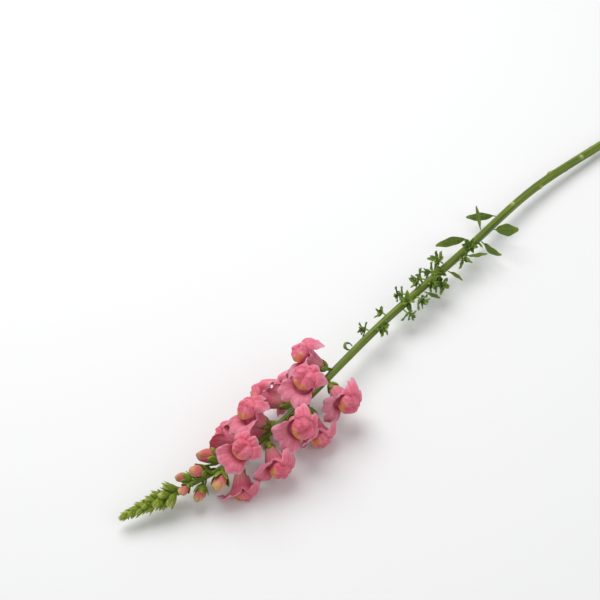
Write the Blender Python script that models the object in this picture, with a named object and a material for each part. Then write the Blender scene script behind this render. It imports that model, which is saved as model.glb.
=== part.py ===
"""A cut snapdragon stem, lying on a flat surface.

Metres, +Z up. The stem runs along X with its cut end at -X and its bud tip at +X, z = 0 is the
surface that it lies on, and the origin is under the middle of the whole stem's box.

A station is a distance along X from the bud tip. An angle around the stem is 0 straight up and
grows towards +Y. Flowers, buds and leaves are placed by their station and that angle.
"""

import math
import random

import bmesh
import bpy
import numpy as np
from mathutils import Vector

MM = 0.001

# Course of the stem's axis: x, y, z of a few places that a smooth curve passes through
TIP_X = 350 * MM
STEM_LENGTH = 700 * MM
COURSE = np.array((
    (-350, -9, 4),
    (-240, -19, 8),
    (-150, -24, 12),
    (-40, -15, 17),
    (30, -10.5, 18.8),
    (80, -6.7, 20),
    (130, 0, 22.2),
    (180, 7, 24),
    (260, 7, 20),
    (350, -19.5, 11),
)) * MM
STEM_SECTIONS = 32
STEM_SIDES = 10

# Stem radius at stations from the bud tip
RADIUS_STATIONS = np.array((0, 12, 60, 105, 210, 450, 700)) * MM
RADII = np.array((0.9, 1.3, 1.9, 2.4, 3.1, 3.6, 4.0)) * MM

# Leaf scars on the bare lower part
SCAR_COUNT = 12
SCAR_FIRST = 462 * MM
SCAR_SPACING = 19.5 * MM
SCAR_SIZE = (2.6 * MM, 2.0 * MM, 1.7 * MM)

# Spiral of flowers up the head
GOLDEN_ANGLE = 137.5
FIRST_ANGLE = -50
BLOOM_COUNT = 13
BLOOM_FIRST = 206 * MM
BLOOM_SPACING = 9.2 * MM
COLOURED_BUD_COUNT = 8
COLOURED_BUD_SPACING = 5.4 * MM
GREEN_BUD_COUNT = 26
GREEN_BUD_LAST = 4 * MM
GREEN_BUD_CROWDING = 1.3
# Size and lean of the lowest and of the highest of each kind. Only the youngest blooms are small
YOUNG_BLOOMS = 0.4
BLOOM_SIZES = (1.0, 0.86)
BLOOM_LEAN = 27
COLOURED_BUD_SIZES = (1.36, 0.74)
COLOURED_BUD_LEANS = (36, 42)
GREEN_BUD_SIZES = (1.34, 0.86)
GREEN_BUD_LEANS = (42, 82)
# A flower turned further down than this is pressed aside by the surface, and keeps this share
FREE_ANGLE = 75
TURNED_ASIDE = 0.66

# Bloom
STALK_LENGTH = 4.5 * MM
PETAL_THICKNESS = 0.8 * MM
COLUMN_ANGLES = (6, 30, 60, 78, 90, 102, 120, 150, 174, 205, 222, 247, 270, 293, 318, 335)
TUBE_SECTIONS = ((0.35, 2.1, 2.1), (6, 4.4, 4.6), (17, 7.6, 8.2))
LIP_STEPS = (0.36, 0.7, 1.0)
# Petals: middle angle, half width, reach as a share of the lip's
PETALS = ((60, 36, 1.0), (120, 36, 1.0), (-40, 31, 0.95), (-90, 25, 0.84), (-140, 31, 0.95))
NOTCH_REACH = 0.32
RUFFLE_HEIGHT = 1.1
RUFFLE_WAVES = 4
# Reach, rise and half turns of curl of the two lips
UPPER_REACH = 12.0
UPPER_RISE = 9.5
UPPER_CURL = 0.62
# The upper lip stands up before it flares
UPPER_FLARE = 1.4
LOWER_REACH = 9.5
LOWER_RISE = 5.0
LOWER_CURL = 1.08
FACE_NARROWING = 0.88
# How far the lower lip is puffed up at its edge, its middle and its foot
PUFF = (0.0, 2.4, 5.0)
# Palate: height above the calyx floor, half width and half depth towards the mouth, then the
# same towards the lower lip, where it goes over into the puffed lip
PALATE_SECTIONS = (
    ((20.5, 6.0, 6.2), (28.0, 9.4, 6.8)),
    ((25.0, 9.6, 9.6), (29.6, 8.2, 5.0)),
    ((29.4, 6.8, 6.4), (30.9, 5.2, 2.8)),
)
PALATE_TOP = 31.0
PALATE_SHIFT = -3.2
PALATE_HUMP = 1.1

# Calyx, for a bloom of size 1: height and radius of its parts
CALYX_COLUMNS = 10
CALYX_TOOTH = (6.8, 5.7)
CALYX_NOTCH = (3.9, 4.7)
CALYX_FLOOR_RADIUS = 2.6
CALYX_FOOT_SECTIONS = ((-1.6, 1.3), (0.6, 3.9))
STALK_RADIUS = 1.1

# Closed coloured bud, for size 1: height, radius
BUD_SECTIONS = ((0.35, 1.9), (3.2, 3.4), (7.4, 4.0), (11, 2.9))
BUD_TOP = 13
BUD_NOD = 1.7
BUD_COLUMNS = 8

# Green bud, for size 1: height above the stem's surface, radius
GREEN_BUD_SECTIONS = ((0.6, 1.3), (2.6, 2.3), (5.0, 1.7))
GREEN_BUD_FOOT = -2.0
GREEN_BUD_TOP = 6.4
GREEN_BUD_COLUMNS = 6

# Bract, for a bud of size 1
BRACT_LENGTH = 5.2
BRACT_HALF_WIDTH = 1.3
BRACT_LEAN = 38
BRACT_BELOW = 2.2 * MM
# A bract under a coloured bud is this much larger, and the upper green buds hide theirs
LARGER_BRACT = 1.25
GREEN_BRACT_COUNT = 12

# Petals that would reach below this height bend away along the surface
FLOOR_EASE = 5 * MM
FLOOR_SLIDE = 0.7

# Leafy side shoots: station, angle around the stem, lean, stalk length, sideways bend, number of
# leaves and leaf length, in millimetres and degrees
SHOOTS = (
    (260, -64, 25, 5, 1, 7, 8),
    (267, 66, -10, 5, 2, 6, 9),
    (282, -46, 20, 4, 0, 4, 9),
    (299, 96, -25, 9, -3, 7, 8),
    (313, -76, 30, 8, 2, 8, 9),
    (317, 74, -15, 7, -2, 8, 10),
    (338, -84, 25, 7, 3, 8, 10),
    (345, 96, 5, 8, 3, 8, 10),
    (362, -60, 20, 7, -2, 7, 10),
    (394, 28, 25, 6, 0, 6, 9),
    (328, -38, 15, 4, 0, 5, 9),
    (350, 40, 10, 4, 1, 6, 8),
    (376, 76, -20, 6, 2, 6, 9),
    (305, 36, 10, 4, 1, 5, 10),
    (334, 44, -10, 5, -1, 6, 10),
    (354, -108, 15, 8, 2, 6, 10),
)
SHOOT_GAP = 0.45 * MM
SHOOT_FOOT_LEAN = 12
SHOOT_RADIUS = 0.8 * MM
SHOOT_LEAF_WIDTH = 0.19
LEAF_THICKNESS = 0.9 * MM
LEAF_EASE = 4 * MM

# Larger leaves: station, angle around the stem, lean, length, half width, curl, sweep and twist
LEAVES = (
    (236, -62, -8, 13, 1.3, 165, 0, 0),
    (384, 92, -50, 19, 2.8, 30, 2, 15),
    (424, 72, -20, 24, 6.2, 20, 0, 10),
    (408, 92, 10, 25, 3.8, -25, 3, 20),
    (414, -32, -10, 24, 1.9, 30, -3, 0),
    (402, -92, 30, 32, 4.6, 25, 2, -10),
    (444, -104, 15, 28, 4.2, 30, -3, 10),
    (326, 106, -32, 15, 2.6, 50, 2, 10),
    (358, 98, -20, 17, 2.2, 70, 2, -10),
    (401, 50, 5, 16, 2.0, 35, -2, 0),
)
LEAF_STATIONS = 8
LARGE_LEAF_THICKNESS = 1.1 * MM


def smooth_curve(x, knots, values):
    """Read, at x, a smooth curve through the values at the knots."""
    slopes = np.gradient(values, knots)
    i = np.clip(np.searchsorted(knots, x) - 1, 0, len(knots) - 2)
    step = knots[i + 1] - knots[i]
    t = (x - knots[i]) / step
    rise = 3 * t**2 - 2 * t**3
    start = (t**3 - 2 * t**2 + t) * step * slopes[i]
    end = (t**3 - t**2) * step * slopes[i + 1]
    return values[i] * (1 - rise) + values[i + 1] * rise + start + end


def axis_point(station):
    """The stem's axis at a station from the bud tip."""
    x = TIP_X - station
    y = smooth_curve(x, COURSE[:, 0], COURSE[:, 1])
    z = smooth_curve(x, COURSE[:, 0], COURSE[:, 2])
    return np.array((x, y, z))


def stem_radius(station):
    return float(np.interp(station, RADIUS_STATIONS, RADII))


def unit(vector):
    return vector / np.linalg.norm(vector)


def growth_frame(station, around, lean, lift=0.0):
    """Axes, in columns, and origin of what grows out of the stem.

    Z points out of the stem, leaning towards the tip. Y is on the side of the tip. The origin is
    lift away from the stem's axis, along Z.
    """
    centre = axis_point(station)
    reach = 1 * MM
    along = unit(axis_point(station - reach) - axis_point(station + reach))
    side = unit(np.cross((0, 0, 1), along))
    up = np.cross(along, side)
    turn = math.radians(around)
    tilt = math.radians(lean)
    outward = math.cos(turn) * up + math.sin(turn) * side
    z_axis = math.cos(tilt) * outward + math.sin(tilt) * along
    y_axis = math.cos(tilt) * along - math.sin(tilt) * outward
    x_axis = np.cross(y_axis, z_axis)
    return np.column_stack((x_axis, y_axis, z_axis)), centre + z_axis * lift


def placed(points, axes, origin, size):
    """Points in millimetres of a growth frame, in the part's metres."""
    return origin + (np.asarray(points, float) * size * MM) @ axes.T


def settled(points, axes):
    """Bend what would reach below the surface away along it."""
    away = np.array((axes[0, 2], axes[1, 2], 0.0))
    away = away / max(np.linalg.norm(away), MM)
    height = points[..., 2]
    eased = np.where(height < FLOOR_EASE, (height + FLOOR_EASE) ** 2 / (4 * FLOOR_EASE), height)
    eased = np.where(height < -FLOOR_EASE, 0.0, eased)
    moved = points + (eased - height)[..., None] * away * FLOOR_SLIDE
    moved[..., 2] = eased
    return moved


def material(name, colour, roughness):
    """A Principled material of one colour."""
    made = bpy.data.materials.get(name)
    if made is None:
        made = bpy.data.materials.new(name)
        made.use_nodes = True
        shader = made.node_tree.nodes["Principled BSDF"]
        shader.inputs["Base Color"].default_value = (*colour, 1.0)
        shader.inputs["Roughness"].default_value = roughness
        shader.inputs["Metallic"].default_value = 0.0
    return made


def new_object(name, mesh, collection, finish):
    mesh.materials.append(finish)
    made = bpy.data.objects.new(name, mesh)
    collection.objects.link(made)
    return made


def loft_mesh(name, rings, foot, top, turn=None, flat=False):
    """A closed mesh through rings of equal count, with a point at each end.

    Both faces of a petal or a leaf are split into triangles alike. A petal's rings lie back
    against the ones before them from the ring number turn on. A leaf is flat, and the second
    half of each ring is its other face.
    """
    rings = np.asarray(rings)
    count = rings.shape[1]
    vertices = [tuple(point) for ring in rings for point in ring]
    vertices.append(tuple(foot))
    vertices.append(tuple(top))
    foot_index = len(vertices) - 2
    top_index = len(vertices) - 1
    faces = []
    for row in range(len(rings) - 1):
        for column in range(count):
            beside = (column + 1) % count
            a = row * count + column
            b = row * count + beside
            c = a + count
            d = b + count
            other_face = (turn is not None and row >= turn) or (flat and column >= count // 2)
            if other_face:
                faces += [(a, b, c), (b, d, c)]
            else:
                faces += [(a, b, d), (a, d, c)]
    last = (len(rings) - 1) * count
    for column in range(count):
        beside = (column + 1) % count
        faces.append((foot_index, beside, column))
        faces.append((top_index, last + column, last + beside))
    mesh = bpy.data.meshes.new(name)
    mesh.from_pydata(vertices, [], faces)
    shape = bmesh.new()
    shape.from_mesh(mesh)
    bmesh.ops.recalc_face_normals(shape, faces=shape.faces)
    shape.to_mesh(mesh)
    shape.free()
    mesh.shade_smooth()
    mesh.set_sharp_from_angle(angle=math.radians(50))
    return mesh


def surface_normals(grid):
    """Unit normals of a grid of points that is closed along its rows."""
    along = np.gradient(grid, axis=0)
    around = np.roll(grid, -1, axis=1) - np.roll(grid, 1, axis=1)
    normals = np.cross(around, along)
    return normals / np.linalg.norm(normals, axis=2, keepdims=True)


def petal_reach(angle):
    """How far the lip reaches at an angle around the flower, as a share of its full reach."""
    reach = NOTCH_REACH
    for middle, half_width, length in PETALS:
        offset = abs((angle - middle + 180) % 360 - 180) / half_width
        if offset < 1:
            reach = max(reach, NOTCH_REACH + (length - NOTCH_REACH) * math.sqrt(1 - offset**2))
    return reach


def corolla(name, axes, origin, size, ruffle, collection, finish):
    """An open flower: tube, two-lobed upper lip, three-lobed lower lip and palate."""
    angles = np.radians(COLUMN_ANGLES)
    cosine = np.cos(angles)
    sine = np.sin(angles)
    upper = np.clip((sine + 0.2) / 0.4, 0, 1)
    lengths = np.array([petal_reach(angle) for angle in COLUMN_ANGLES])
    skin = []
    for height, half_width, half_depth in TUBE_SECTIONS:
        level = np.full_like(sine, height)
        skin.append(np.column_stack((half_width * cosine, half_depth * sine, level)))
    throat_height, throat_width, throat_depth = TUBE_SECTIONS[-1]
    for step in LIP_STEPS:
        share = step * lengths
        spread = upper * UPPER_REACH * share**UPPER_FLARE + (1 - upper) * LOWER_REACH * share
        rise_up = UPPER_RISE * np.sin(UPPER_CURL * math.pi * share)
        rise_down = LOWER_RISE * np.sin(LOWER_CURL * math.pi * share)
        height = throat_height + upper * rise_up + (1 - upper) * rise_down
        height = height + RUFFLE_HEIGHT * step**2 * np.sin(RUFFLE_WAVES * angles + ruffle)
        narrow = throat_width + (throat_depth - throat_width) * step
        width = (narrow + spread) * cosine * (1 - step * (1 - FACE_NARROWING))
        depth = (throat_depth + spread) * sine
        skin.append(np.column_stack((width, depth, height)))
    skin = settled(placed(skin, axes, origin, size), axes)
    inward = -surface_normals(skin) * PETAL_THICKNESS
    near_surface = np.clip(1 - skin[..., 2] / FLOOR_EASE, 0, 1)
    skin[..., 2] += np.clip(-inward[..., 2], 0, None) * near_surface
    lining = (skin + inward)[len(TUBE_SECTIONS):][::-1]
    puff = np.outer(PUFF, 1 - upper) * (1 - near_surface[len(TUBE_SECTIONS):][::-1])
    lining = lining + puff[..., None] * axes[:, 2] * size * MM
    palate = []
    for row, (mouth_side, lip_side) in enumerate(PALATE_SECTIONS):
        height, half_width, half_depth = np.outer(mouth_side, upper) + np.outer(lip_side, 1 - upper)
        level = height + PALATE_HUMP * (row / len(PALATE_SECTIONS)) ** 2 * cosine**2
        depth = PALATE_SHIFT + half_depth * sine
        palate.append(np.column_stack((half_width * cosine, depth, level)))
    palate = settled(placed(palate, axes, origin, size), axes)
    ends = ((0, 0, TUBE_SECTIONS[0][0]), (0, PALATE_SHIFT, PALATE_TOP))
    ends = settled(placed(ends, axes, origin, size), axes)
    rings = np.concatenate((skin, lining, palate))
    mesh = loft_mesh(name, rings, ends[0], ends[1], turn=len(skin))
    return new_object(name, mesh, collection, finish)


def closed_bud(name, axes, origin, size, collection, finish):
    """A coloured bud: a closed corolla whose tip nods towards the tip of the stem."""
    angles = np.linspace(0, 2 * math.pi, BUD_COLUMNS, endpoint=False)
    rings = []
    for height, radius in BUD_SECTIONS:
        nod = BUD_NOD * (height / BUD_TOP) ** 2
        level = np.full_like(angles, height)
        rings.append(np.column_stack((radius * np.cos(angles), nod + radius * np.sin(angles), level)))
    rings = placed(rings, axes, origin, size)
    ends = placed(((0, 0, BUD_SECTIONS[0][0]), (0, BUD_NOD, BUD_TOP)), axes, origin, size)
    mesh = loft_mesh(name, rings, ends[0], ends[1])
    return new_object(name, mesh, collection, finish)


def calyx(axes, origin, size, depth, collection, finish):
    """A flower stalk and its five-toothed cup. The stalk's foot is depth below the cup's floor."""
    angles = np.linspace(0, 2 * math.pi, CALYX_COLUMNS, endpoint=False)
    foot_height = -depth / (size * MM)
    profile = [(foot_height, STALK_RADIUS), *CALYX_FOOT_SECTIONS, None, (0.0, CALYX_FLOOR_RADIUS)]
    rings = []
    for section in profile:
        ring = []
        for column, angle in enumerate(angles):
            rim = CALYX_NOTCH if column % 2 else CALYX_TOOTH
            height, radius = section or rim
            ring.append((radius * math.cos(angle), radius * math.sin(angle), height))
        rings.append(ring)
    rings = placed(rings, axes, origin, size)
    ends = placed(((0, 0, foot_height), (0, 0, 0)), axes, origin, size)
    mesh = loft_mesh("calyx", rings, ends[0], ends[1], turn=profile.index(None))
    return new_object("calyx", mesh, collection, finish)


def blade_mesh(name, spine, widths, flat, thickness, fold=0.0, shares=(-1, 0, 1)):
    """A pointed leaf along a spine of points, thick at its middle and thin at its edges.

    flat is the direction across the blade, fold raises its edges, and shares are the places
    across it, from edge to edge, that its section passes through.
    """
    spine = np.asarray(spine, float)
    heading = np.gradient(spine, axis=0)
    heading = heading / np.linalg.norm(heading, axis=1, keepdims=True)
    across = flat - heading * (heading @ flat)[:, None]
    across = across / np.linalg.norm(across, axis=1, keepdims=True)
    normal = np.cross(heading, across)
    rings = []
    for point, half_width, side, face in zip(spine[1:-1], widths, across[1:-1], normal[1:-1]):
        lower = []
        upper = []
        for share in shares:
            place = point + half_width * (side * share + face * fold * abs(share))
            half_thickness = face * thickness / 2 * (1 - abs(share))
            lower.append(place - half_thickness)
            upper.append(place + half_thickness)
        rings.append(lower + upper[-2:0:-1])
    return loft_mesh(name, rings, spine[0], spine[-1], flat=True)


def green_bud(axes, origin, size, collection, finish):
    """A green bud wrapped in its calyx, its foot sunk in the stem."""
    angles = np.linspace(0, 2 * math.pi, GREEN_BUD_COLUMNS, endpoint=False)
    rings = []
    for height, radius in GREEN_BUD_SECTIONS:
        level = np.full_like(angles, height)
        rings.append(np.column_stack((radius * np.cos(angles), radius * np.sin(angles), level)))
    rings = placed(rings, axes, origin, size)
    ends = placed(((0, 0, GREEN_BUD_FOOT), (0, 0, GREEN_BUD_TOP)), axes, origin, size)
    mesh = loft_mesh("green_bud", rings, ends[0], ends[1])
    return new_object("green_bud", mesh, collection, finish)


def bract(station, around, size, collection, finish):
    """The small leaf under a flower, on the side of the cut end."""
    lift = stem_radius(station) * 0.5
    axes, origin = growth_frame(station + BRACT_BELOW, around, BRACT_LEAN, lift)
    spine = [(0, -0.12 * BRACT_LENGTH * t * t, BRACT_LENGTH * t) for t in np.linspace(0, 1, 5)]
    spine = placed(spine, axes, origin, size)
    widths = np.array((0.85, 1.0, 0.6)) * BRACT_HALF_WIDTH * size * MM
    mesh = blade_mesh("bract", spine, widths, axes[:, 0], LEAF_THICKNESS, fold=0.3)
    return new_object("bract", mesh, collection, finish)


def turned_aside(around):
    """The angle a flower takes when the surface is in the way of a free one."""
    around = (around + 180) % 360 - 180
    free = min(abs(around), FREE_ANGLE)
    pressed = (abs(around) - free) * TURNED_ASIDE
    return math.copysign(free + pressed, around)


def between(ends, way):
    """A value on the way from the first end to the second."""
    return ends[0] + (ends[1] - ends[0]) * way


def spiral_places():
    """Kind, number, station, angle, lean and size of every flower and bud from the lowest up."""
    places = []
    around = FIRST_ANGLE
    station = BLOOM_FIRST
    for number in range(BLOOM_COUNT):
        way = number / (BLOOM_COUNT - 1)
        size = between(BLOOM_SIZES, max(0.0, 1 - (1 - way) / YOUNG_BLOOMS))
        places.append(("bloom", number + 1, station, turned_aside(around), BLOOM_LEAN, size))
        around += GOLDEN_ANGLE
        station -= BLOOM_SPACING
    for number in range(COLOURED_BUD_COUNT):
        way = number / (COLOURED_BUD_COUNT - 1)
        size = between(COLOURED_BUD_SIZES, way)
        lean = between(COLOURED_BUD_LEANS, way)
        places.append(("bud", number + 1, station, turned_aside(around), lean, size))
        around += GOLDEN_ANGLE
        station -= COLOURED_BUD_SPACING
    green_ends = (station, GREEN_BUD_LAST)
    for number in range(GREEN_BUD_COUNT):
        way = number / (GREEN_BUD_COUNT - 1)
        station = between(green_ends, 1 - (1 - way) ** GREEN_BUD_CROWDING)
        size = between(GREEN_BUD_SIZES, way)
        lean = between(GREEN_BUD_LEANS, way)
        places.append(("green", number + 1, station, around, lean, size))
        around += GOLDEN_ANGLE
    return places


def curve_mesh_object(name, points, radii, sides, collection, finish):
    """A closed tube of changing radius along points, as a mesh object."""
    course = bpy.data.curves.new(name, "CURVE")
    course.dimensions = "3D"
    course.bevel_depth = 1.0
    course.bevel_resolution = max(0, sides // 2 - 2)
    course.use_fill_caps = True
    line = course.splines.new("POLY")
    line.points.add(len(points) - 1)
    for knot, point, radius in zip(line.points, points, radii):
        knot.co = (*point, 1.0)
        knot.radius = radius
    holder = bpy.data.objects.new(name + "_course", course)
    collection.objects.link(holder)
    evaluated = holder.evaluated_get(bpy.context.evaluated_depsgraph_get())
    mesh = bpy.data.meshes.new_from_object(evaluated)
    bpy.data.objects.remove(holder)
    shape = bmesh.new()
    shape.from_mesh(mesh)
    bmesh.ops.remove_doubles(shape, verts=shape.verts, dist=0.01 * MM)
    bmesh.ops.triangulate(shape, faces=shape.faces)
    bmesh.ops.recalc_face_normals(shape, faces=shape.faces)
    shape.to_mesh(mesh)
    shape.free()
    mesh.materials.clear()
    return new_object(name, mesh, collection, finish)


def scar(station, around, collection, finish):
    """The raised scar of a fallen leaf."""
    axes, origin = growth_frame(station, around, 0, stem_radius(station) - 0.3 * MM)
    shape = bmesh.new()
    bmesh.ops.create_uvsphere(shape, u_segments=6, v_segments=4, radius=1.0)
    for corner in shape.verts:
        local = np.array(corner.co) * SCAR_SIZE
        corner.co = Vector(origin + axes @ np.array((local[1], local[0], local[2])))
    mesh = bpy.data.meshes.new("scar")
    bmesh.ops.triangulate(shape, faces=shape.faces)
    shape.to_mesh(mesh)
    shape.free()
    return new_object("scar", mesh, collection, finish)


def join_pieces(base, pieces):
    """Unite a collection's bodies with the base object, and remove them."""
    union = base.modifiers.new("grown_together", "BOOLEAN")
    union.operation = "UNION"
    union.operand_type = "COLLECTION"
    union.collection = pieces
    union.solver = "EXACT"
    evaluated = base.evaluated_get(bpy.context.evaluated_depsgraph_get())
    mesh = bpy.data.meshes.new_from_object(evaluated)
    base.modifiers.remove(union)
    base.data = mesh
    for piece in list(pieces.objects):
        bpy.data.objects.remove(piece)
    bpy.data.collections.remove(pieces)


def piece_collection(name):
    made = bpy.data.collections.new(name)
    bpy.context.scene.collection.children.link(made)
    return made


def build_stem(places, collection, finish):
    """The green axis with its scars, calyces, bracts and green buds."""
    stations = STEM_LENGTH * np.linspace(1, 0, STEM_SECTIONS) ** 1.15
    points = [axis_point(station) for station in stations]
    radii = [stem_radius(station) for station in stations]
    stem = curve_mesh_object("stem", points, radii, STEM_SIDES, collection, finish)
    pieces = piece_collection("stem_pieces")
    for number in range(SCAR_COUNT):
        scar(SCAR_FIRST + number * SCAR_SPACING, number * GOLDEN_ANGLE, pieces, finish)
    for kind, number, station, around, lean, size in places:
        if kind == "green":
            axes, origin = growth_frame(station, around, lean, stem_radius(station))
            green_bud(axes, origin, size, pieces, finish)
            if number <= GREEN_BRACT_COUNT:
                bract(station, around, size, pieces, finish)
        else:
            lift = stem_radius(station) + STALK_LENGTH * size
            axes, origin = growth_frame(station, around, lean, lift)
            calyx(axes, origin, size, lift, pieces, finish)
            if kind == "bud":
                bract(station, around, LARGER_BRACT * size, pieces, finish)
    join_pieces(stem, pieces)


def build_flowers(places, collection, petal_pink, bud_apricot):
    """Each corolla in its calyx."""
    draw = random.Random(7)
    for kind, number, station, around, lean, size in places:
        if kind == "green":
            continue
        lift = stem_radius(station) + STALK_LENGTH * size
        axes, origin = growth_frame(station, around, lean, lift)
        if kind == "bloom":
            ruffle = draw.uniform(0, 2 * math.pi)
            corolla(f"bloom_{number:02d}", axes, origin, size, ruffle, collection, petal_pink)
        else:
            closed_bud(f"bud_{number:02d}", axes, origin, size, collection, bud_apricot)


def raised(spine, clearance):
    """Bend a leaf's spine up where it would come nearer the surface than the clearance."""
    spine = np.array(spine, float)
    height = spine[:, 2] - clearance
    eased = np.where(height < LEAF_EASE, (height + LEAF_EASE) ** 2 / (4 * LEAF_EASE), height)
    eased = np.where(height < -LEAF_EASE, 0.0, eased)
    spine[:, 2] = eased + clearance
    return spine


def leafy_shoot(number, place, collection, finish):
    """A short side shoot: a thin stalk with small narrow leaves, most of them near its end."""
    station, around, lean, stalk, bend, leaf_count, leaf_length = place
    station = station * MM
    draw = random.Random(100 + number)
    lift = stem_radius(station) + SHOOT_GAP
    axes, origin = growth_frame(station, around, SHOOT_FOOT_LEAN, lift)
    steps = np.linspace(0, 1, 5)
    swing = math.radians(lean)
    course = []
    for t in steps:
        along = stalk * t * t * math.sin(swing)
        course.append((bend * t * t, along, stalk * t * math.cos(swing * t)))
    course = raised(placed(course, axes, origin, 1.0), 2.0 * MM)
    radii = SHOOT_RADIUS * (1 - 0.4 * steps)
    name = f"shoot_{number:02d}"
    shoot = curve_mesh_object(name, course, radii, 4, collection, finish)
    pieces = piece_collection(name + "_leaves")
    heading = unit(course[-1] - course[-3])
    side = unit(np.cross(heading, (0.3, 0.2, 1.0)))
    for leaf in range(leaf_count):
        way = (leaf + 1) / leaf_count
        foot = np.array([np.interp(0.35 + 0.62 * way, steps, course[:, k]) for k in range(3)])
        turn = math.radians(leaf * GOLDEN_ANGLE + draw.uniform(-20, 20))
        outward = math.cos(turn) * side + math.sin(turn) * np.cross(heading, side)
        open_angle = math.radians(78 - 38 * way)
        length = leaf_length * (1.05 - 0.25 * way) * draw.uniform(0.85, 1.1) * MM
        curl = draw.uniform(-0.25, 0.45)
        spine = []
        for t in np.linspace(0, 1, 5):
            angle = open_angle + curl * t
            spine.append(foot + length * t * (math.cos(angle) * heading + math.sin(angle) * outward))
        spine = raised(spine, 1.6 * MM)
        widths = np.array((0.7, 1.0, 0.7)) * length * SHOOT_LEAF_WIDTH
        flat = np.cross(heading, outward)
        blade = blade_mesh("blade", spine, widths, flat, LEAF_THICKNESS, fold=0.25)
        new_object("blade", blade, pieces, finish)
    join_pieces(shoot, pieces)


def single_leaf(number, place, collection, finish):
    """A larger leaf on its own thin stalk."""
    station, around, lean, length, half_width, curl, sweep, twist = place
    station = station * MM
    lift = stem_radius(station) + SHOOT_GAP
    axes, origin = growth_frame(station, around, math.copysign(SHOOT_FOOT_LEAN, lean), lift)
    steps = np.linspace(0, 1, LEAF_STATIONS)
    angles = np.radians(lean) * np.clip(steps * 4, 0, 1) + np.radians(curl) * steps**1.2
    reach = length / (LEAF_STATIONS - 1)
    local = [np.zeros(3)]
    for angle in angles[:-1]:
        local.append(local[-1] + reach * np.array((0.0, math.sin(angle), math.cos(angle))))
    local = np.array(local)
    local[:, 0] += sweep * steps**2
    spine = raised(placed(local, axes, origin, 1.0), 1.4 * MM + half_width * 0.25 * MM)
    swell = np.sin(math.pi * np.clip((steps - 0.14) / 0.9, 0, 1) ** 0.85)
    widths = (0.75 + half_width * swell[1:-1]) * MM
    roll = math.radians(twist)
    flat = math.cos(roll) * axes[:, 0] + math.sin(roll) * axes[:, 2]
    name = f"leaf_{number:02d}"
    shares = (-1, -0.5, 0, 0.5, 1)
    mesh = blade_mesh(name, spine, widths, flat, LARGE_LEAF_THICKNESS, fold=0.22, shares=shares)
    new_object(name, mesh, collection, finish)


def main():
    for old in list(bpy.data.objects):
        bpy.data.objects.remove(old)
    collection = piece_collection("snapdragon_stem")
    stem_green = material("stem_green", (0.15, 0.27, 0.05), 0.5)
    leaf_green = material("leaf_green", (0.07, 0.16, 0.035), 0.55)
    petal_pink = material("petal_pink", (0.72, 0.17, 0.28), 0.6)
    bud_apricot = material("bud_apricot", (0.72, 0.25, 0.18), 0.55)
    places = spiral_places()
    build_stem(places, collection, stem_green)
    build_flowers(places, collection, petal_pink, bud_apricot)
    for number, place in enumerate(SHOOTS, 1):
        leafy_shoot(number, place, collection, leaf_green)
    for number, place in enumerate(LEAVES, 1):
        single_leaf(number, place, collection, leaf_green)


main()
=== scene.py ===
"""A cut snapdragon stem lying on a pale floor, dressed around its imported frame.

Metres, +Z up, in the frame's own axes: the stem runs along X with its bud tip at +X. A station is
a distance along X from the bud tip. An angle around the stem is 0 straight up and grows towards
+Y. Lengths of a flower are in millimetres of its own axes: X across it, Y towards the bud tip and
Z out of the stem.
"""

import math
import random
from typing import NamedTuple

import bpy
import numpy as np
from mathutils import Matrix, Vector


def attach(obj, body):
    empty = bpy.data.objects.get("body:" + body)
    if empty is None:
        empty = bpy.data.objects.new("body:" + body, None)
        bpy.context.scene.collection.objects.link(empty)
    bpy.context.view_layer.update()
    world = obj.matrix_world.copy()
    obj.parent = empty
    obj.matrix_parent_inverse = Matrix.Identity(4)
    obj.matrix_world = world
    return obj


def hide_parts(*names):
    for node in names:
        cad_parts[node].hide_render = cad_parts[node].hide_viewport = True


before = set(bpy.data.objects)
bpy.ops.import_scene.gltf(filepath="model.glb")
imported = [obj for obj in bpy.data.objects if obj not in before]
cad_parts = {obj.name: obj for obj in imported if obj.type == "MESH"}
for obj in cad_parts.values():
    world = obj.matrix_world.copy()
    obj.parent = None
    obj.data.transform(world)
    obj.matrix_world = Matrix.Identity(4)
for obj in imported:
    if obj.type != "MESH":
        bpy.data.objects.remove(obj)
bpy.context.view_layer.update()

bl_info = {
    "name": "Snapdragon stem",
    "version": (1, 0, 0),
    "blender": (4, 5, 0),
    "location": "3D View > Sidebar > Snapdragon",
    "description": "Builds a cut snapdragon stem: flowers, buds, leafy shoots and its stage",
    "category": "Add Mesh",
}

MM = 0.001

# Course of the stem's axis: x, y, z of places that a smooth curve passes through
TIP_X = 350 * MM
STEM_LENGTH = 700 * MM
COURSE = np.array((
    (-350, -9, 4),
    (-240, -19, 8),
    (-150, -24, 12),
    (-40, -15, 17),
    (30, -10.5, 18.8),
    (80, -6.7, 20),
    (130, 0, 22.2),
    (180, 7, 24),
    (260, 7, 20),
    (350, -19.5, 11),
)) * MM
RADIUS_STATIONS = np.array((0, 12, 60, 105, 210, 450, 700)) * MM
RADII = np.array((0.9, 1.3, 1.9, 2.4, 3.1, 3.6, 4.0)) * MM
STEM_RINGS = 520
STEM_COLUMNS = 30
STEM_RIBS = 5
STEM_TWIST = 2.2

# Leaf scars on the bare lower part
SCAR_COUNT = 12
SCAR_FIRST = 462 * MM
SCAR_SPACING = 19.5 * MM
# A scar's ridge and its tail: width in degrees, shift down the stem and length, then their heights
SCAR_RIDGE = (27, 0.0, 1.7 * MM)
SCAR_TAIL = (16, 3.2 * MM, 3.2 * MM)
SCAR_RISE = 1.45
SCAR_TAIL_RISE = 0.5

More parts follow.
